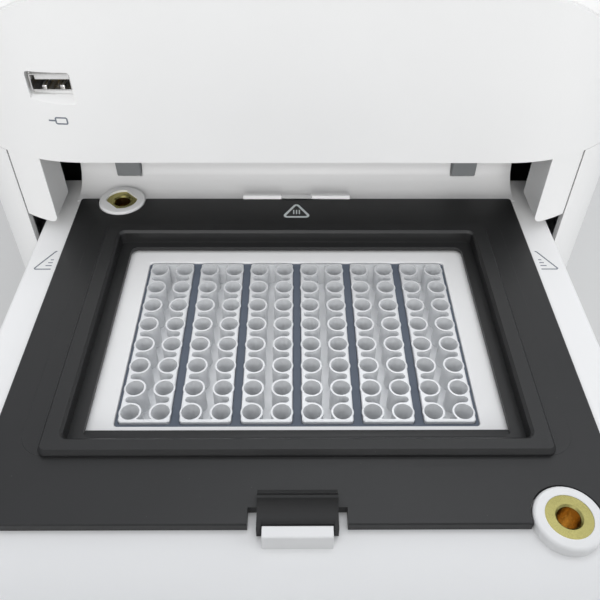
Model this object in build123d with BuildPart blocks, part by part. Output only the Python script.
"""Thermal cycler for real-time reactions: benchtop housing, motor drawer and 96-well block.

Millimetres, +Z up, +Y towards the back. The drawer is drawn out, which is the rest position.
The origin is on the table, under the middle of the housing and its open drawer.
"""
from build123d import *
import os
from math import atan2, cos, degrees, pi, radians, sin

os.makedirs("parts", exist_ok=True)

# ---- driving dimensions: housing ----
body_width = 270.0
body_depth = 500.0
body_height = 400.0
drawer_travel = 160.0
body_front = -(body_depth - drawer_travel) / 2
body_rear = body_front + body_depth
wall = 3.0
foot_height = 8.0
foot_radius = 13.0
panel_bottom = 10.0
cover_split = 388.0
screen_lean = 53.0
bevel_front_x = 106.9
bevel_rear_y = body_front + 53.2
corner_front_radius = 56.0
corner_side_radius = 100.0
corner_rear_radius = 20.0
leg_x = 103.0
frame_inner_x = 99.5
joint_gap = 0.2

# ---- driving dimensions: well block ----
well_pitch = 9.0
well_columns = 12
well_rows = 8
zone_count = 6
wells_z = 163.5
block_y = body_front - 49.0
closed_y = block_y + drawer_travel
zone_width = 15.2
zone_length = 70.2
zone_height = 22.0
well_radius = 2.8
well_depth = 15.0
well_tip_radius = 1.5
rim_radius = 3.35
pocket_depth = 9.0

# ---- driving dimensions: drawer top ----
deck_z = wells_z + 1.5
deck_half_width = 98.0
deck_thickness = 3.0
deck_front = block_y - 101.0
deck_rear = block_y + 86.0
cover_half_width = 85.4
cover_half_length = 69.6
cover_top = deck_z + 2.8
rib_inner = (130.0, 90.0)
rib_outer = (142.0, 100.0)
rib_top = wells_z + 7.0
nest_opening = (122.0, 83.6)
boss_offset = (69.0, 68.0)
boss_radius = 9.0
boss_top = wells_z + 5.0
bush_radius = 6.1
bush_bore = 3.05
bush_bore_depth = 14.0
pin_radius = 2.95

# ---- driving dimensions: chin, guides and cover lift ----
chin_bottom = wells_z + 34.0
chin_top = wells_z + 90.0
chin_corner = 45.0
chin_half_width = 112.0
guide_inner_x = 89.6
guide_depth = 20.4
guide_bottom = wells_z + 5.5
lift_travel = 26.0
carriage_bottom = wells_z + 9.0 + lift_travel
carriage_top = carriage_bottom + 10.0
lift_x = 92.0
lift_y = (closed_y - 31.0, closed_y + 31.0)
frame_deck_z = 232.0

# ---- driving dimensions: drawer drive ----
tray_floor = 42.0
tray_half_width = 84.0
rack_module = 1.0
pinion_teeth = 16
pinion_radius = rack_module * pinion_teeth / 2
pinion_y = body_front + 25.0
pinion_z = 28.0
pitch_line_z = pinion_z + pinion_radius


def plan_outline(inset):
    """The housing seen from above, drawn in by inset: flat front, rounded corners, flat back."""
    half = body_width / 2
    corners = [
        (-bevel_front_x, body_front),
        (bevel_front_x, body_front),
        (half, bevel_rear_y),
        (half, body_rear),
        (-half, body_rear),
        (-half, bevel_rear_y),
    ]
    with BuildSketch(mode=Mode.PRIVATE) as plan:
        with BuildLine():
            Polyline(*corners, close=True)
        make_face()
        fillet(plan.vertices().group_by(Axis.Y)[-1], radius=corner_rear_radius)
        fillet(plan.vertices().group_by(Axis.Y)[1], radius=corner_side_radius)
        fillet(plan.vertices().group_by(Axis.Y)[0], radius=corner_front_radius)
        if inset > 0:
            offset(amount=-inset)
    return plan.sketch


def side_profile(inset):
    """The housing seen from the side: upright front, leaning screen, flat top."""
    with BuildSketch(Plane.YZ, mode=Mode.PRIVATE) as profile:
        with BuildLine():
            Polyline(
                (body_front, 0),
                (body_front, chin_top),
                (body_front + screen_lean, body_height),
                (body_rear, body_height),
                (body_rear, 0),
                close=True,
            )
        make_face()
        if inset > 0:
            offset(amount=-inset, kind=Kind.INTERSECTION)
    return profile.sketch


def casing_block(inset, bottom, top):
    """The solid envelope of the housing between two heights, drawn in by inset."""
    with BuildPart(mode=Mode.PRIVATE) as block:
        with BuildSketch(Plane.XY.offset(bottom)):
            add(plan_outline(inset))
        extrude(amount=top - bottom)
        add(extrude(side_profile(inset), amount=body_width, both=True, mode=Mode.PRIVATE),
            mode=Mode.INTERSECT)
    return block.part


def finish(piece, label):
    """Label a finished piece and write its STEP file."""
    piece.part.label = label
    export_step(piece.part, f"parts/{label}.step")


def chin_outline(gap):
    """The chin's front seen face on, grown by gap: square below, large rounded corners above."""
    with BuildSketch(Plane.XZ.offset(-body_front - 40), mode=Mode.PRIVATE) as face:
        with Locations((0, (chin_bottom + chin_top) / 2)):
            Rectangle(2 * (chin_half_width + gap), chin_top - chin_bottom + 2 * gap)
        fillet(face.vertices().group_by(Axis.Y)[-1], radius=chin_corner + gap)
    return face.sketch


# ======== housing: casing ========
casing_outer = casing_block(0, panel_bottom, cover_split)
casing_inner = casing_block(wall, panel_bottom - 1, cover_split + 1)

with BuildPart() as base_pan:
    pan_gap = wall + 0.3
    pan_wall = 2.0
    with BuildSketch(Plane.XY.offset(foot_height)):
        add(plan_outline(pan_gap))
    extrude(amount=8)
    with BuildSketch(Plane.XY.offset(foot_height + pan_wall)):
        add(plan_outline(pan_gap + pan_wall))
    extrude(amount=8, mode=Mode.SUBTRACT)
    with BuildSketch(Plane.XY.offset(foot_height)):
        with Locations((0, closed_y)):
            with GridLocations(14, 0, 6, 1):
                SlotOverall(60, 6, rotation=90)
    extrude(amount=pan_wall, mode=Mode.SUBTRACT)
finish(base_pan, "base_pan")

with BuildPart() as feet:
    foot_rows = (body_front + 36, body_rear - 36)
    with BuildSketch():
        with Locations(*[(x, y) for x in (-82, 82) for y in foot_rows]):
            Circle(foot_radius)
    extrude(amount=foot_height)
    chamfer(feet.edges().group_by(Axis.Z)[0], length=2)
finish(feet, "feet")


def side_panel(side):
    """One moulded side of the casing, from the front leg round to the back corner."""
    mid_x = side * (leg_x + 20)
    vent_rows = [body_rear - 60 - 12 * i for i in range(9)]
    with BuildPart() as panel:
        add(casing_outer)
        add(casing_inner, mode=Mode.SUBTRACT)
        with Locations((mid_x, (body_front + body_rear) / 2, body_height / 2)):
            Box(40, body_depth + 2, body_height, mode=Mode.INTERSECT)
        with BuildSketch(Plane.YZ):
            with Locations(*[(y, 70) for y in vent_rows]):
                SlotOverall(64, 4, rotation=90)
        extrude(amount=side * body_width, mode=Mode.SUBTRACT)
        add(extrude(chin_outline(joint_gap), amount=60, mode=Mode.PRIVATE), mode=Mode.SUBTRACT)
    return panel


side_panel_left = side_panel(-1)
finish(side_panel_left, "side_panel_left")
side_panel_right = side_panel(1)
finish(side_panel_right, "side_panel_right")

with BuildPart() as top_cover:
    add(casing_block(0, cover_split + joint_gap, body_height))
    fillet(top_cover.faces().sort_by(Axis.Z)[-1].edges(), radius=7)
    add(casing_block(wall, cover_split - 1, body_height - wall), mode=Mode.SUBTRACT)
finish(top_cover, "top_cover")

rear_inner = leg_x - joint_gap
panel_y = body_rear - 3.0
fan_x, fan_z, fan_size = 38.0, 150.0, 92.0
inlet_x, inlet_z = -68.0, 46.0
switch_x = -24.0
port_z = 300.0
rear_panel_bottom = foot_height + 8.4
with BuildPart() as rear_panel:
    with BuildSketch(Plane.XY.offset(rear_panel_bottom)):
        with Locations((0, panel_y - wall / 2)):
            Rectangle(2 * rear_inner, wall)
    extrude(amount=cover_split - rear_panel_bottom)
    with BuildSketch(Plane.XZ.offset(-panel_y)):
        with Locations((fan_x, fan_z)):
            Circle(40)
            with GridLocations(0, 8, 1, 11):
                Rectangle(92, 2.4, mode=Mode.SUBTRACT)
            Circle(14, mode=Mode.SUBTRACT)
        with Locations((inlet_x, inlet_z)):
            Rectangle(47.4, 27.4)
        with Locations((switch_x, inlet_z)):
            Rectangle(13.4, 19.4)
        with Locations((-60, port_z)):
            Rectangle(16.4, 13.9)
        with Locations((-36, port_z)):
            Rectangle(13.5, 6.1)
        with Locations((38, 320)):
            with GridLocations(10, 0, 9, 1):
                SlotOverall(46, 4, rotation=90)
    extrude(amount=wall, both=True, mode=Mode.SUBTRACT)
finish(rear_panel, "rear_panel")

# ======== housing: chin, screen and guides ========
usb_x, usb_z = -78.5, wells_z + 62.4
usb_window = (14.6, 8.6)

with BuildPart() as front_fascia:
    with BuildSketch(Plane.XY.offset(chin_bottom)):
        add(plan_outline(0))
        add(plan_outline(wall), mode=Mode.SUBTRACT)
    extrude(amount=chin_top - chin_bottom)
    add(extrude(chin_outline(0), amount=60, mode=Mode.PRIVATE), mode=Mode.INTERSECT)
    with BuildSketch(Plane.XZ.offset(-body_front - 40)):
        with Locations((usb_x, usb_z)):
            RectangleRounded(*usb_window, 1.2)
    extrude(amount=60, mode=Mode.SUBTRACT)
    lip_z = usb_z - usb_window[1] / 2
    with BuildSketch(Plane.YZ.offset(usb_x - usb_window[0] / 2)):
        with BuildLine():
            Polyline((body_front + wall, lip_z + 0.3), (body_front - 0.5, lip_z - 2.6),
                     (body_front - 0.5, lip_z + 0.3), close=True)
        make_face()
    extrude(amount=usb_window[0], mode=Mode.SUBTRACT)
finish(front_fascia, "front_fascia")

lean_angle = degrees(atan2(screen_lean, body_height - chin_top))
skin_out = wall + joint_gap
skin_in = skin_out + wall
screen_mid_z = (chin_top + cover_split) / 2 + 2
screen_mid_y = body_front + skin_out / cos(radians(lean_angle))
screen_mid_y += (screen_mid_z - chin_top) * screen_lean / (body_height - chin_top)
screen_plane = Plane(
    origin=(0, screen_mid_y, screen_mid_z),
    x_dir=(1, 0, 0),
    z_dir=(0, -cos(radians(lean_angle)), sin(radians(lean_angle))),
)
glass_size = (190.0, 119.0)
glass_thickness = 1.6
display_size = (174.0, 104.0)

with BuildPart() as screen_housing:
    add(casing_block(skin_out, chin_bottom, cover_split))
    add(casing_block(skin_in, chin_bottom - 1, cover_split + 1), mode=Mode.SUBTRACT)
    with Locations((0, body_front + 31, body_height / 2)):
        Box(2 * rear_inner - joint_gap, 64, body_height, mode=Mode.INTERSECT)
    with BuildSketch(Plane.XY.offset(chin_bottom)):
        add(plan_outline(skin_out))
        with Locations((0, body_front + 17)):
            Rectangle(2 * frame_inner_x - 3, 34, mode=Mode.INTERSECT)
    extrude(amount=2.5)
    with BuildSketch(screen_plane):
        RectangleRounded(*glass_size, 7)
    extrude(amount=-glass_thickness, mode=Mode.SUBTRACT)
    with BuildSketch(screen_plane):
        RectangleRounded(*display_size, 3)
    extrude(amount=-3 * wall, mode=Mode.SUBTRACT)
    with BuildSketch(Plane.XZ.offset(-body_front - 20)):
        with Locations((usb_x, usb_z)):
            Rectangle(13.3, 5.9)
    extrude(amount=20, mode=Mode.SUBTRACT)
finish(screen_housing, "screen_housing")

with BuildPart() as touch_glass:
    with BuildSketch(screen_plane):
        RectangleRounded(glass_size[0] - 0.6, glass_size[1] - 0.6, 6.7)
    extrude(amount=-glass_thickness)
finish(touch_glass, "touch_glass")

with BuildPart() as display_panel:
    with BuildSketch(screen_plane.offset(-glass_thickness)):
        RectangleRounded(display_size[0] - 1, display_size[1] - 1, 2.5)
    extrude(amount=-6)
finish(display_panel, "display_panel")

with BuildPart() as guide_blocks:
    with BuildSketch(Plane.XY.offset(guide_bottom)):
        add(plan_outline(0.4))
        guide_mid_x = (guide_inner_x + rear_inner) / 2
        guide_block_width = rear_inner - guide_inner_x - joint_gap
        guide_mid_y = body_front + guide_depth - 10
        with Locations((-guide_mid_x, guide_mid_y), (guide_mid_x, guide_mid_y)):
            Rectangle(guide_block_width, 20, mode=Mode.INTERSECT)
    extrude(amount=chin_bottom - guide_bottom)
    inner_edges = guide_blocks.edges().group_by(Axis.Z)[0].filter_by(Axis.Y)
    fillet(inner_edges.filter_by(lambda e: abs(e.center().X) < guide_inner_x + 1), radius=3)
finish(guide_blocks, "guide_blocks")

usb_depth = 16.0
usb_front = body_front + 2.4
with BuildPart() as usb_shell:
    with BuildSketch(Plane.XZ.offset(-usb_front)):
        with Locations((usb_x, usb_z)):
            RectangleRounded(13.1, 5.7, 0.6)
            Rectangle(12.3, 4.9, mode=Mode.SUBTRACT)
    extrude(amount=-usb_depth)
    with BuildSketch(Plane.XZ.offset(-(usb_front + usb_depth))):
        with Locations((usb_x, usb_z)):
            Rectangle(12.6, 5.2)
    extrude(amount=-0.5)
finish(usb_shell, "usb_shell")

with BuildPart() as usb_tongue:
    with Locations((usb_x, usb_front + usb_depth / 2 + 1, usb_z + 0.9)):
        Box(11.2, usb_depth - 2, 1.9)
finish(usb_tongue, "usb_tongue")

# ======== housing: inner frame and electrics ========
frame_sheet = 2.0
frame_front = body_front + guide_depth + 0.6
frame_rear = body_front + 410.0
tower_size = (136.0, 96.0)

with BuildPart() as chassis_frame:
    frame_mid_y = (frame_front + frame_rear) / 2
    frame_length = frame_rear - frame_front
    with BuildSketch(Plane.XY.offset(10)):
        for side in (-1, 1):
            with Locations((side * (frame_inner_x + frame_sheet / 2), frame_mid_y)):
                Rectangle(frame_sheet, frame_length)
    extrude(amount=frame_deck_z - 10)
    with BuildSketch(Plane.XY.offset(frame_deck_z)):
        with Locations((0, frame_mid_y)):
            Rectangle(2 * (frame_inner_x + frame_sheet), frame_length)
        with Locations((0, closed_y)):
            Rectangle(nest_opening[0], nest_opening[1], mode=Mode.SUBTRACT)
        with Locations((lift_x, lift_y[1])):
            Circle(5, mode=Mode.SUBTRACT)
    extrude(amount=frame_sheet)
    with BuildSketch(Plane.YZ):
        with Locations((frame_rear - 70, 110)):
            Rectangle(90, 120)
    extrude(amount=body_width, both=True, mode=Mode.SUBTRACT)
finish(chassis_frame, "chassis_frame")

with BuildPart() as power_inlet:
    inlet_face = Plane.XZ.offset(-(panel_y - wall - 22))
    with BuildSketch(inlet_face):
        with Locations((inlet_x, inlet_z)):
            Rectangle(47, 27)
    extrude(amount=-(wall + 22))
    with BuildSketch(Plane.XZ.offset(-panel_y)):
        with Locations((inlet_x, inlet_z)):
            RectangleRounded(52, 32, 3)
    extrude(amount=-1.8)
    with BuildSketch(Plane.XZ.offset(-(panel_y + 1.8))) as cavity:
        with Locations((inlet_x, inlet_z)):
            Rectangle(25.5, 16.5)
        chamfer(cavity.vertices().group_by(Axis.Y)[0], length=4)
    extrude(amount=17, mode=Mode.SUBTRACT)
    with BuildSketch(Plane.XZ.offset(-(panel_y - 15.2))):
        with Locations(*[(inlet_x + x, inlet_z + z) for x, z in ((-7, -1), (0, -4), (7, -1))]):
            Rectangle(2, 4)
    extrude(amount=-13.5)
finish(power_inlet, "power_inlet")

rocker_axis_y = panel_y - 4.0
with BuildPart() as rear_ports:
    with BuildSketch(Plane.XZ.offset(-(panel_y - 16))):
        with Locations((-60, port_z)):
            Rectangle(16, 13.5)
        with Locations((-36, port_z)):
            Rectangle(13.1, 5.7)
    extrude(amount=-16.5)
    with BuildSketch(Plane.XZ.offset(-(panel_y + 0.5))):
        with Locations((-60, port_z)):
            Rectangle(11.8, 8.4)
        with Locations((-36, port_z)):
            Rectangle(12.3, 4.9)
            with Locations((0, 0.9)):
                Rectangle(11.2, 1.9, mode=Mode.SUBTRACT)
    extrude(amount=12, mode=Mode.SUBTRACT)
finish(rear_ports, "rear_ports")

with BuildPart() as power_rocker:
    with BuildSketch(Plane.YZ.offset(switch_x - 5)):
        with BuildLine():
            Polyline((rocker_axis_y - 3, inlet_z + 7.6), (panel_y + 2.4, inlet_z + 8.2),
                     (panel_y + 0.4, inlet_z), (panel_y + 0.4, inlet_z - 8.2),
                     (rocker_axis_y - 3, inlet_z - 7.6), close=True)
        make_face()
    extrude(amount=10)
finish(power_rocker, "power_rocker")

with BuildPart() as power_supply:
    with Locations((-44, body_rear - 78, 10 + 32)):
        Box(96, 90, 64)
    with BuildSketch(Plane.XY.offset(74)):
        with Locations((-44, body_rear - 78)):
            with GridLocations(10, 0, 8, 1):
                SlotOverall(70, 4, rotation=90)
    extrude(amount=-1.5, mode=Mode.SUBTRACT)
finish(power_supply, "power_supply")

with BuildPart() as main_board:
    board_y = body_rear - 40
    with BuildSketch(Plane.XZ.offset(-board_y)):
        with Locations((-20, 290)):
            Rectangle(150, 100)
    extrude(amount=1.6)
    with BuildSketch(Plane.XZ.offset(-board_y)):
        with Locations((-60, 300), (-36, 300)):
            Rectangle(12, 9)
        with Locations((0, 280)):
            Rectangle(30, 30)
        with Locations((36, 300)):
            with GridLocations(0, 14, 1, 4):
                Rectangle(20, 8)
    extrude(amount=-7)
finish(main_board, "main_board")


# ======== fans ========
def fan_frame(plane, size, depth, clear_radius):
    """A square fan housing with a round duct, a motor seat and four struts."""
    with BuildPart() as frame:
        with BuildSketch(plane):
            RectangleRounded(size, size, 4)
            Circle(clear_radius, mode=Mode.SUBTRACT)
            with GridLocations(size - 10, size - 10, 2, 2):
                Circle(2.2, mode=Mode.SUBTRACT)
        extrude(amount=depth)
        with BuildSketch(plane):
            Circle(14)
            with PolarLocations(0, 2):
                Rectangle(2 * clear_radius + 1, 3)
                Rectangle(3, 2 * clear_radius + 1)
        extrude(amount=2.5)
    return frame


def fan_rotor(plane, hub_radius, tip_radius, depth, blades):
    """A fan rotor: a domed hub with pitched blades."""
    with BuildPart() as rotor:
        with BuildSketch(plane.offset(4)):
            Circle(hub_radius)
        extrude(amount=depth)
        fillet(rotor.edges().filter_by(GeomType.CIRCLE), radius=1.5)
        with Locations(plane.offset(4 + depth / 2)):
            with PolarLocations(hub_radius - 1, blades):
                Box(tip_radius - hub_radius, 1.8, depth, rotation=(35, 0, 0),
                    align=(Align.MIN, Align.CENTER, Align.CENTER))
    return rotor


exhaust_plane = Plane(
    origin=(fan_x, panel_y - wall - 25, fan_z), x_dir=(-1, 0, 0), z_dir=(0, 1, 0)
)
exhaust_fan_frame = fan_frame(exhaust_plane, fan_size, 25, 43)
finish(exhaust_fan_frame, "exhaust_fan_frame")
exhaust_fan_rotor = fan_rotor(exhaust_plane, 17, 41, 18, 7)
finish(exhaust_fan_rotor, "exhaust_fan_rotor")

block_fan_plane = Plane.XY.offset(tray_floor + 4)
block_fan_plane.origin = (0, block_y, tray_floor + 4)
block_fan_frame = fan_frame(block_fan_plane, fan_size, 25, 43)
finish(block_fan_frame, "block_fan_frame")
block_fan_rotor = fan_rotor(block_fan_plane, 17, 41, 18, 7)
finish(block_fan_rotor, "block_fan_rotor")

# ======== optics above the heated cover ========
tower_bottom = frame_deck_z + frame_sheet
splitter_z = 285.0
mirror_z = 335.0
wheel_offset = 24.0
wheel_radius = 34.0
wheel_y = closed_y + 95.0
tower_rear = closed_y + tower_size[1] / 2

with BuildPart() as optics_hood:
    with BuildSketch(Plane.XY.offset(tower_bottom)):
        with Locations((0, closed_y)):
            RectangleRounded(*tower_size, 4)
    extrude(amount=130)
    with BuildSketch(Plane.XY.offset(tower_bottom)):
        with Locations((0, closed_y)):
            Rectangle(tower_size[0] - 6, tower_size[1] - 6)
    extrude(amount=127, mode=Mode.SUBTRACT)
    with BuildSketch(Plane.XZ.offset(-tower_rear + 10)):
        with Locations((0, splitter_z), (0, mirror_z)):
            Circle(12.2)
    extrude(amount=-20, mode=Mode.SUBTRACT)
finish(optics_hood, "optics_hood")

with BuildPart() as optics_mirrors:
    for height in (splitter_z, mirror_z):
        tilt = Plane(origin=(0, closed_y, height), x_dir=(1, 0, 0), z_dir=(0, 1, -1))
        with BuildSketch(tilt):
            Rectangle(tower_size[0] - 6, 54)
        extrude(amount=1, both=True)
finish(optics_mirrors, "optics_mirrors")


def optic_barrel(height, body_length):
    """A lens barrel in front of the filter wheel, in line with a square housing behind it."""
    with BuildPart() as barrel:
        with BuildSketch(Plane.XZ.offset(-(tower_rear - 3))):
            with Locations((0, height)):
                Circle(12)
        extrude(amount=-(wheel_y - tower_rear))
        with BuildSketch(Plane.XZ.offset(-(wheel_y + 6))):
            with Locations((0, height)):
                RectangleRounded(40, 40, 3)
        extrude(amount=-body_length)
    return barrel


fluorescence_camera = optic_barrel(mirror_z, 46)
finish(fluorescence_camera, "fluorescence_camera")
led_housing = optic_barrel(splitter_z, 40)
finish(led_housing, "led_housing")


def filter_wheel(side, height):
    """A wheel of six filters, with the shaft that its motor turns."""
    centre = (side * wheel_offset, height)
    with BuildPart() as wheel:
        with BuildSketch(Plane.XZ.offset(-wheel_y)):
            with Locations(centre):
                Circle(wheel_radius)
                with PolarLocations(wheel_offset, 6):
                    Circle(8, mode=Mode.SUBTRACT)
        extrude(amount=-3)
        with BuildSketch(Plane.XZ.offset(-(wheel_y + 1))):
            with Locations(centre):
                Circle(5)
        extrude(amount=4)
        with BuildSketch(Plane.XZ.offset(-(wheel_y + 1))):
            with Locations(centre):
                Circle(2)
        extrude(amount=14)
    return wheel


emission_wheel = filter_wheel(1, mirror_z)
finish(emission_wheel, "emission_wheel")
excitation_wheel = filter_wheel(-1, splitter_z)
finish(excitation_wheel, "excitation_wheel")

with BuildPart() as filter_wheel_motors:
    motor_spots = [(wheel_offset, mirror_z), (-wheel_offset, splitter_z)]
    with BuildSketch(Plane.XZ.offset(-(wheel_y - 6))):
        with Locations(*motor_spots):
            Circle(11)
    extrude(amount=24)
    with BuildSketch(Plane.XZ.offset(-(wheel_y - 6))):
        with Locations(*motor_spots):
            Circle(2.06)
    extrude(amount=12, mode=Mode.SUBTRACT)
finish(filter_wheel_motors, "filter_wheel_motors")

# ======== heated cover and its lift ========
with BuildPart() as cover_carriage:
    pin_spots = [
        (boss_offset[0], closed_y - boss_offset[1]),
        (-boss_offset[0], closed_y + boss_offset[1]),
    ]
    with BuildSketch(Plane.XY.offset(carriage_bottom)):
        with Locations((0, closed_y)):
            RectangleRounded(152, 108, 6)
            for side in (-1, 1):
                for y in (-31, 31):
                    with Locations((side * 84, y)):
                        RectangleRounded(26, 14, 5)
        for x, y in pin_spots:
            with Locations((x, (y + closed_y) / 2)):
                Rectangle(9, abs(y - closed_y))
            with Locations((x, y)):
                Circle(4.5)
    extrude(amount=carriage_top - carriage_bottom)
    with BuildSketch(Plane.XY.offset(carriage_bottom)):
        with Locations((0, closed_y)):
            Rectangle(124.4, 84.4)
    extrude(amount=3, mode=Mode.SUBTRACT)
    with BuildSketch(Plane.XY.offset(carriage_bottom)):
        with Locations((0, closed_y)):
            RectangleRounded(112, 76, 4)
        with Locations(*[(side * lift_x, y) for side in (-1, 1) for y in lift_y]):
            Circle(3.06)
    extrude(amount=carriage_top - carriage_bottom, mode=Mode.SUBTRACT)
    pin_tip = wells_z + 22.5
    with BuildSketch(Plane.XY.offset(pin_tip)):
        with Locations(*pin_spots):
            Circle(pin_radius)
    extrude(amount=carriage_bottom - pin_tip)
    chamfer(cover_carriage.faces().sort_by(Axis.Z)[0:2].edges(), length=1)
finish(cover_carriage, "cover_carriage")

with BuildPart() as heated_cover_plate:
    with BuildSketch(Plane.XY.offset(carriage_bottom - 2)):
        with Locations((0, closed_y)):
            RectangleRounded(124, 84, 3)
            with GridLocations(well_pitch, well_pitch, well_columns, well_rows):
                Circle(2.4, mode=Mode.SUBTRACT)
    extrude(amount=5)
finish(heated_cover_plate, "heated_cover_plate")

rod_bottom = deck_z + 4
with BuildPart() as lift_guide_rods:
    with BuildSketch(Plane.XY.offset(rod_bottom)):
        with Locations((-lift_x, lift_y[0]), (-lift_x, lift_y[1]), (lift_x, lift_y[0])):
            Circle(3)
    extrude(amount=frame_deck_z - rod_bottom)
finish(lift_guide_rods, "lift_guide_rods")

with BuildPart() as lift_screw:
    with BuildSketch(Plane.XY.offset(rod_bottom)):
        with Locations((lift_x, lift_y[1])):
            Circle(3)
    extrude(amount=tower_bottom + 10 - rod_bottom)
finish(lift_screw, "lift_screw")

with BuildPart() as lift_motor:
    with BuildSketch(Plane.XY.offset(tower_bottom)):
        with Locations((lift_x, lift_y[1])):
            RectangleRounded(35, 35, 4)
            Circle(3.06, mode=Mode.SUBTRACT)
    extrude(amount=12)
    with BuildSketch(Plane.XY.offset(tower_bottom + 12)):
        with Locations((lift_x, lift_y[1])):
            RectangleRounded(35, 35, 4)
    extrude(amount=24)
finish(lift_motor, "lift_motor")

# ======== drawer: deck and rear wall ========
deck_mid_y = (deck_front + deck_rear) / 2
deck_length = deck_rear - deck_front
front_boss = (boss_offset[0], block_y - boss_offset[1])
rear_boss = (-boss_offset[0], block_y + boss_offset[1])

with BuildPart() as drawer_deck:
    with BuildSketch(Plane.XY.offset(deck_z - deck_thickness)):
        with Locations((0, deck_mid_y)):
            Rectangle(2 * deck_half_width, deck_length)
        with Locations((0, block_y)):
            Rectangle(128, 89, mode=Mode.SUBTRACT)
    extrude(amount=deck_thickness)
    fillet(drawer_deck.edges().filter_by(Axis.Y).group_by(Axis.Z)[-1].filter_by(
        lambda e: abs(e.center().X) > deck_half_width - 1), radius=1.8)
    skirt_bottom = 105.0
    with BuildSketch(Plane.XY.offset(skirt_bottom)):
        for side in (-1, 1):
            with Locations((side * (deck_half_width - 1.25), deck_mid_y)):
                Rectangle(2.5, deck_length)
    extrude(amount=deck_z - deck_thickness - skirt_bottom)
    rim_length = 136.0
    with BuildSketch(Plane.XY.offset(deck_z)):
        for side in (-1, 1):
            with Locations((side * (cover_half_width + 1.0), block_y + 2)):
                Rectangle(1.3, rim_length)
        with Locations(front_boss, rear_boss):
            Circle(boss_radius)
    extrude(amount=1.0)
    with BuildSketch(Plane.XY.offset(deck_z)):
        with Locations(front_boss, rear_boss):
            Circle(boss_radius)
    extrude(amount=boss_top - deck_z)
    fillet(drawer_deck.faces().sort_by(Axis.Z)[-2:].edges(), radius=1.0)
    with BuildSketch(Plane.YZ) as catch:
        with BuildLine():
            Polyline(
                (block_y - 70.6, deck_z),
                (block_y - 70.6, wells_z + 6),
                (block_y - 73.9, wells_z + 6),
                (block_y - 74.6, deck_z),
                close=True,
            )
        make_face()
        fillet(catch.vertices().group_by(Axis.Y)[-1], radius=0.6)
    extrude(amount=8.9, both=True)
    with BuildSketch(Plane.XY.offset(deck_z - deck_thickness)):
        with Locations(front_boss):
            Circle(bush_radius + 0.05)
    extrude(amount=boss_top, mode=Mode.SUBTRACT)
    with BuildSketch(Plane.XY.offset(deck_z - deck_thickness)):
        with Locations(rear_boss):
            Circle(bush_radius + 0.05)
            Rectangle(20, 9.9, rotation=-45, mode=Mode.INTERSECT)
    extrude(amount=boss_top, mode=Mode.SUBTRACT)
finish(drawer_deck, "drawer_deck")

wall_half_width = 87.6
cove_radius = 10.0
wall_top = wells_z + 20.5
with BuildPart() as drawer_rear_wall:
    base_top = deck_z + 1.0
    cove_start = block_y + 74.0
    with BuildSketch(Plane.YZ):
        with BuildLine():
            Polyline(
                (cove_start, base_top),
                (block_y + 70.4, base_top),
                (block_y + 70.4, deck_z),
                (deck_rear, deck_z),
                (deck_rear, wall_top),
                (cove_start + cove_radius, wall_top),
                (cove_start + cove_radius, base_top + cove_radius),
            )
            RadiusArc(
                (cove_start + cove_radius, base_top + cove_radius),
                (cove_start, base_top),
                cove_radius,
            )
        make_face()
    extrude(amount=wall_half_width, both=True)
    with BuildSketch(Plane.XY.offset(deck_z)):
        with Locations(rear_boss):
            Circle(boss_radius + 0.1)
    extrude(amount=boss_top + 1 - deck_z, mode=Mode.SUBTRACT)
    with BuildSketch(Plane.XZ.offset(-(cove_start + 6))):
        with Locations((-67.8, wells_z + 10.6), (67.8, wells_z + 10.6)):
            Rectangle(9.8, 8.4)
    extrude(amount=-5.2, mode=Mode.SUBTRACT)
finish(drawer_rear_wall, "drawer_rear_wall")

with BuildPart() as block_cover:
    with BuildSketch(Plane.XY.offset(deck_z)):
        with Locations((0, block_y)):
            RectangleRounded(2 * cover_half_width, 2 * cover_half_length, 1.2)
    extrude(amount=cover_top - deck_z)
    chamfer(block_cover.faces().sort_by(Axis.Z)[-1].edges(), length=0.35)
    with BuildSketch(Plane.XY.offset(cover_top)):
        with Locations((0, block_y)):
            with Locations((0, 3.25)):
                RectangleRounded(154, 105.5, 8)
    extrude(amount=0.15)
    with BuildSketch(Plane.XY.offset(cover_top)):
        with Locations((0, block_y)):
            RectangleRounded(*rib_outer, 2.5)
    extrude(amount=rib_top - cover_top)
    chamfer(block_cover.faces().sort_by(Axis.Z)[-1].edges(), length=1.6, length2=1.0)
    with BuildSketch(Plane.XY.offset(deck_z + 0.5)):
        with Locations((0, block_y)):
            RectangleRounded(*rib_inner, 2)
    extrude(amount=10, mode=Mode.SUBTRACT)
    chamfer(block_cover.edges().group_by(Axis.Z)[-1].filter_by(
        lambda e: abs(e.center().X) < 66 and abs(e.center().Y - block_y) < 46), length=0.8)
    with BuildSketch(Plane.XY.offset(wells_z + 0.4)):
        with Locations((0, block_y)):
            Rectangle(127.4, 88.4)
    extrude(amount=deck_z - wells_z - 0.4)
    with BuildSketch(Plane.XY.offset(wells_z)):
        with Locations((0, block_y)):
            RectangleRounded(*nest_opening, 2.5)
    extrude(amount=10, mode=Mode.SUBTRACT)
    with BuildSketch(Plane.XY.offset(deck_z)):
        with Locations(front_boss, rear_boss):
            Circle(boss_radius + 0.4)
        with Locations((0, block_y - cover_half_length)):
            Rectangle(25.6, 2 * (cover_half_length - 64.8))
    extrude(amount=5, mode=Mode.SUBTRACT)
finish(block_cover, "block_cover")

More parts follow.
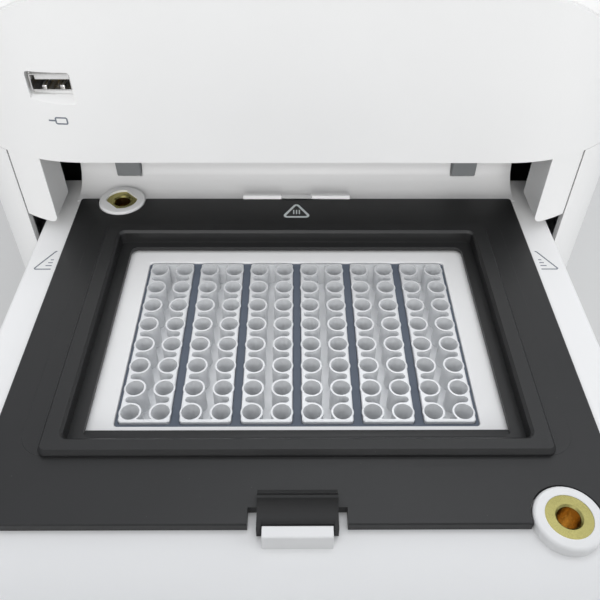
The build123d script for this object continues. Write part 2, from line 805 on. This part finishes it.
with BuildPart() as rear_clip:
    clip_y = block_y + 68.6
    with BuildSketch(Plane.YZ):
        with BuildLine():
            Polyline(
                (clip_y, cover_top + 0.1),
                (clip_y + 0.7, wells_z + 5.7),
                (clip_y + 2.4, wells_z + 5.7),
                (clip_y + 4.2, deck_z + 1.0),
                (clip_y + 1.8, deck_z + 1.0),
                (clip_y + 1.8, cover_top + 0.1),
                close=True,
            )
        make_face()
    extrude(amount=21.2, both=True)
    with Locations((0, clip_y + 1, wells_z + 5.7)):
        Box(12, 6, 2.0, mode=Mode.SUBTRACT)
finish(rear_clip, "rear_clip")

latch_y = block_y - 61.0
with BuildPart() as front_latch:
    base = cover_top + 0.4
    with BuildSketch(Plane.YZ):
        with BuildLine():
            Polyline(
                (latch_y - 3.2, base + 3.4),
                (latch_y - 2.5, base + 3.4),
                (latch_y - 1.2, base + 2.0),
                (latch_y, base + 1.7),
                (latch_y, base),
                (latch_y - 9.2, base),
                (latch_y - 9.2, base + 0.9),
            )
            ThreePointArc(
                (latch_y - 9.2, base + 0.9),
                (latch_y - 5.4, base + 1.3),
                (latch_y - 3.2, base + 3.4),
            )
        make_face()
    extrude(amount=10.4, both=True)
    for side in (-1, 1):
        with Locations((side * 9.8, latch_y - 9.4, deck_z + 2.3)):
            Box(1.2, 2.2, 3.6)
finish(front_latch, "front_latch")

with BuildPart() as guide_bushes:
    with BuildSketch(Plane.XY.offset(deck_z - deck_thickness - 12)):
        with Locations(front_boss, rear_boss):
            Circle(4.6)
    extrude(amount=12 + deck_thickness)
    with BuildSketch(Plane.XY.offset(deck_z - deck_thickness)):
        with Locations(front_boss):
            Circle(bush_radius)
    extrude(amount=boss_top - deck_z + deck_thickness - 0.1)
    with BuildSketch(Plane.XY.offset(deck_z - deck_thickness)):
        with Locations(rear_boss):
            Circle(bush_radius)
            Rectangle(20, 9.8, rotation=-45, mode=Mode.INTERSECT)
    extrude(amount=boss_top - deck_z + deck_thickness - 0.9)
    with BuildSketch(Plane.XY.offset(boss_top)):
        with Locations(front_boss, rear_boss):
            Circle(bush_bore)
    extrude(amount=-bush_bore_depth, mode=Mode.SUBTRACT)
    chamfer(guide_bushes.edges().filter_by(GeomType.CIRCLE).filter_by(
        lambda e: abs(e.radius - bush_bore) < 0.01 and e.center().Z > deck_z), length=0.5)
finish(guide_bushes, "guide_bushes")

# ======== drawer: well block ========
surround_top = wells_z - 0.5
with BuildPart() as block_surround:
    with BuildSketch(Plane.XY.offset(surround_top - 2.5)):
        with Locations((0, block_y)):
            Rectangle(127.4, 88.4)
            RectangleRounded(2 * 53.7, 2 * 36.2, 1.2, mode=Mode.SUBTRACT)
    extrude(amount=2.5)
    chamfer(block_surround.edges().group_by(Axis.Z)[-1].filter_by(
        lambda e: abs(e.center().X) < 60 and abs(e.center().Y - block_y) < 40), length=0.3)
finish(block_surround, "block_surround")

zone_pitch = 2 * well_pitch
zone_bottom = wells_z - zone_height
zone_gap = 0.15
zone_places = [zone_pitch * (i - (zone_count - 1) / 2) for i in range(zone_count)]

with BuildPart() as zone_gasket:
    with BuildSketch(Plane.XY.offset(wells_z - 4.2)):
        with Locations((0, block_y)):
            RectangleRounded(2 * 53.6, 2 * 36.1, 1.1)
        with Locations(*[(x, block_y) for x in zone_places]):
            RectangleRounded(zone_width + 2 * zone_gap, zone_length + 2 * zone_gap, 1.1,
                             mode=Mode.SUBTRACT)
    extrude(amount=3.0)
finish(zone_gasket, "zone_gasket")


def sample_block_zone(centre_x):
    """One heating zone: sixteen tapered wells as thin tubes standing in a milled pocket."""
    row_gaps = [(centre_x, block_y + well_pitch * (i - 3)) for i in range(well_rows - 1)]
    with BuildPart() as zone:
        with BuildSketch(Plane.XY.offset(zone_bottom)):
            with Locations((centre_x, block_y)):
                RectangleRounded(zone_width, zone_length, 1.0)
        extrude(amount=zone_height)
        chamfer(zone.faces().sort_by(Axis.Z)[-1].edges(), length=0.25)
        with BuildSketch(Plane.XY.offset(wells_z - pocket_depth)):
            with Locations((centre_x, block_y)):
                RectangleRounded(5.2, zone_length - 1.8, 1.1)
            with Locations(*row_gaps):
                SlotOverall(13.2, 2.3)
                Rectangle(well_pitch, 4.4)
            with Locations((centre_x, block_y)):
                with GridLocations(well_pitch, well_pitch, 2, well_rows):
                    Circle(rim_radius, mode=Mode.SUBTRACT)
        extrude(amount=pocket_depth, mode=Mode.SUBTRACT)
        with Locations((centre_x, block_y, wells_z - well_depth)):
            with GridLocations(well_pitch, well_pitch, 2, well_rows):
                Cone(well_tip_radius, well_radius, well_depth,
                     align=(Align.CENTER, Align.CENTER, Align.MIN), mode=Mode.SUBTRACT)
    return zone


for index, zone_x in enumerate(zone_places, start=1):
    finish(sample_block_zone(zone_x), f"sample_block_zone_{index}")

peltier_height = 4.0
with BuildPart() as peltier_modules:
    with BuildSketch(Plane.XY.offset(zone_bottom - peltier_height)):
        with Locations(*[(x, block_y) for x in zone_places]):
            with GridLocations(0, 34, 1, 2):
                Rectangle(14.6, 33)
    extrude(amount=peltier_height)
finish(peltier_modules, "peltier_modules")

sink_top = zone_bottom - peltier_height
sink_base = 10.0
fin_bottom = tray_floor + 4 + 25 + 2
with BuildPart() as heat_sink:
    with BuildSketch(Plane.XY.offset(sink_top - sink_base)):
        with Locations((0, block_y)):
            Rectangle(118, 80)
    extrude(amount=sink_base)
    with BuildSketch(Plane.XY.offset(fin_bottom)):
        with Locations((0, block_y)):
            with GridLocations(4.2, 0, 28, 1):
                Rectangle(1.4, 80)
    extrude(amount=sink_top - sink_base - fin_bottom)
finish(heat_sink, "heat_sink")

# ======== drawer: tray, front, rails and drive ========
tray_front = deck_front + 2
tray_rear = deck_rear - 4
tray_mid_y = (tray_front + tray_rear) / 2
tray_length = tray_rear - tray_front
with BuildPart() as drawer_tray:
    with BuildSketch(Plane.XY.offset(tray_floor)):
        with Locations((0, tray_mid_y)):
            Rectangle(2 * tray_half_width, tray_length)
    extrude(amount=deck_z - deck_thickness - tray_floor)
    with BuildSketch(Plane.XY.offset(tray_floor + 2)):
        with Locations((0, tray_mid_y)):
            Rectangle(2 * tray_half_width - 4, tray_length - 4)
    extrude(amount=deck_z, mode=Mode.SUBTRACT)
    with BuildSketch(Plane.XY.offset(tray_floor)):
        with Locations((0, block_y)):
            Circle(41)
    extrude(amount=2, mode=Mode.SUBTRACT)
    with BuildSketch(Plane.XZ.offset(-tray_rear)):
        with Locations((0, 100)):
            with GridLocations(12, 0, 11, 1):
                SlotOverall(70, 7, rotation=90)
    extrude(amount=10, both=True, mode=Mode.SUBTRACT)
finish(drawer_tray, "drawer_tray")

front_bottom = 20.0
front_face_y = body_front - drawer_travel
shoulder_z = guide_bottom - 1.0
with BuildPart() as drawer_front:
    with BuildSketch(Plane.XY.offset(front_bottom)):
        with Locations((0, -drawer_travel)):
            add(plan_outline(0))
            add(plan_outline(wall), mode=Mode.SUBTRACT)
        with Locations((0, front_face_y + 10)):
            Rectangle(2 * rear_inner - 0.8, 24, mode=Mode.INTERSECT)
    extrude(amount=chin_bottom - 1 - front_bottom)
    upper_height = chin_bottom - deck_z - 1
    with Locations((0, front_face_y + 6, deck_z + upper_height / 2)):
        Box(177, 8, upper_height)
    with BuildSketch(Plane.XZ.offset(-front_face_y - 30)):
        for side in (-1, 1):
            with Locations((side * (guide_inner_x + 19.2), shoulder_z + 20)):
                Rectangle(40, 40)
    extrude(amount=60, mode=Mode.SUBTRACT)
    fillet(drawer_front.edges().filter_by(Axis.X).group_by(Axis.Z)[-1], radius=2)
finish(drawer_front, "drawer_front")

with BuildPart() as block_board:
    with BuildSketch(Plane.YZ.offset(-tray_half_width + 6)):
        with Locations((block_y, 100)):
            Rectangle(120, 60)
    extrude(amount=1.6)
    with BuildSketch(Plane.YZ.offset(-tray_half_width + 7.6)):
        with Locations((block_y, 100)):
            with GridLocations(34, 24, 3, 2):
                Rectangle(16, 12)
    extrude(amount=3)
    with BuildSketch(Plane.YZ.offset(-tray_half_width + 2)):
        with Locations((block_y, 100)):
            with GridLocations(110, 50, 2, 2):
                Circle(2.5)
    extrude(amount=4)
finish(block_board, "block_board")

rail_length = 176.0
rail_closed_y = body_front + 16 + rail_length / 2


def rail_pair(web, flange, half_height, travel):
    """A left and right channel rail: web and flange are their X spans."""
    middle_y = rail_closed_y - travel
    with BuildPart() as rails:
        with BuildSketch(Plane.XZ.offset(-(middle_y - rail_length / 2))):
            for side in (-1, 1):
                with Locations((side * (web[0] + web[1]) / 2, 80)):
                    Rectangle(web[1] - web[0], 2 * half_height)
                for end in (-1, 1):
                    mid_x = side * (flange[0] + flange[1]) / 2
                    with Locations((mid_x, 80 + end * (half_height - 1))):
                        Rectangle(flange[1] - flange[0], 2)
        extrude(amount=-rail_length)
    return rails


slide_outer_rails = rail_pair((98.0, frame_inner_x), (92.0, 98.0), 20, 0)
finish(slide_outer_rails, "slide_outer_rails")
slide_middle_rails = rail_pair((95.8, 97.3), (89.4, 95.8), 17, drawer_travel / 2)
finish(slide_middle_rails, "slide_middle_rails")
slide_inner_rails = rail_pair((tray_half_width, 86.0), (86.0, 95.0), 14, drawer_travel)
finish(slide_inner_rails, "slide_inner_rails")

tooth_pitch = pi * rack_module
rack_x = 54.0
rack_face = 7.0
rack_teeth = 56
tooth = (1.9, 2.3, 78)
with BuildPart() as drawer_rack:
    rack_mid_y = pinion_y - round(drawer_travel / 2 / tooth_pitch) * tooth_pitch
    rack_span = rack_teeth * tooth_pitch
    with BuildSketch(Plane.YZ.offset(rack_x - rack_face / 2)):
        with BuildLine():
            Polyline(
                (rack_mid_y - rack_span / 2, tray_floor),
                (rack_mid_y - rack_span / 2, pitch_line_z + 1.6),
                (rack_mid_y + rack_span / 2, pitch_line_z + 1.6),
                (rack_mid_y + rack_span / 2, tray_floor),
                close=True,
            )
        make_face()
        with Locations((rack_mid_y, pitch_line_z + 0.5)):
            with GridLocations(tooth_pitch, 0, rack_teeth, 1):
                Trapezoid(*tooth, rotation=180)
    extrude(amount=rack_face)
finish(drawer_rack, "drawer_rack")

with BuildPart() as drive_pinion:
    with BuildSketch(Plane.YZ.offset(rack_x - 3)):
        with Locations((pinion_y, pinion_z)):
            Circle(pinion_radius - 1.5)
            with PolarLocations(pinion_radius - 0.5, pinion_teeth, start_angle=90):
                Trapezoid(*tooth, rotation=-90)
    extrude(amount=6)
    with BuildSketch(Plane.YZ.offset(rack_x + 3)):
        with Locations((pinion_y, pinion_z)):
            Circle(2)
    extrude(amount=14)
finish(drive_pinion, "drive_pinion")

with BuildPart() as drawer_motor:
    motor_face = rack_x + 6
    with BuildSketch(Plane.YZ.offset(motor_face)):
        with Locations((pinion_y, pinion_z)):
            Circle(12)
            with Locations((0, -9)):
                Rectangle(18, 18)
    extrude(amount=36)
    with BuildSketch(Plane.YZ.offset(motor_face)):
        with Locations((pinion_y, pinion_z)):
            Circle(2.06)
    extrude(amount=13, mode=Mode.SUBTRACT)
finish(drawer_motor, "drawer_motor")
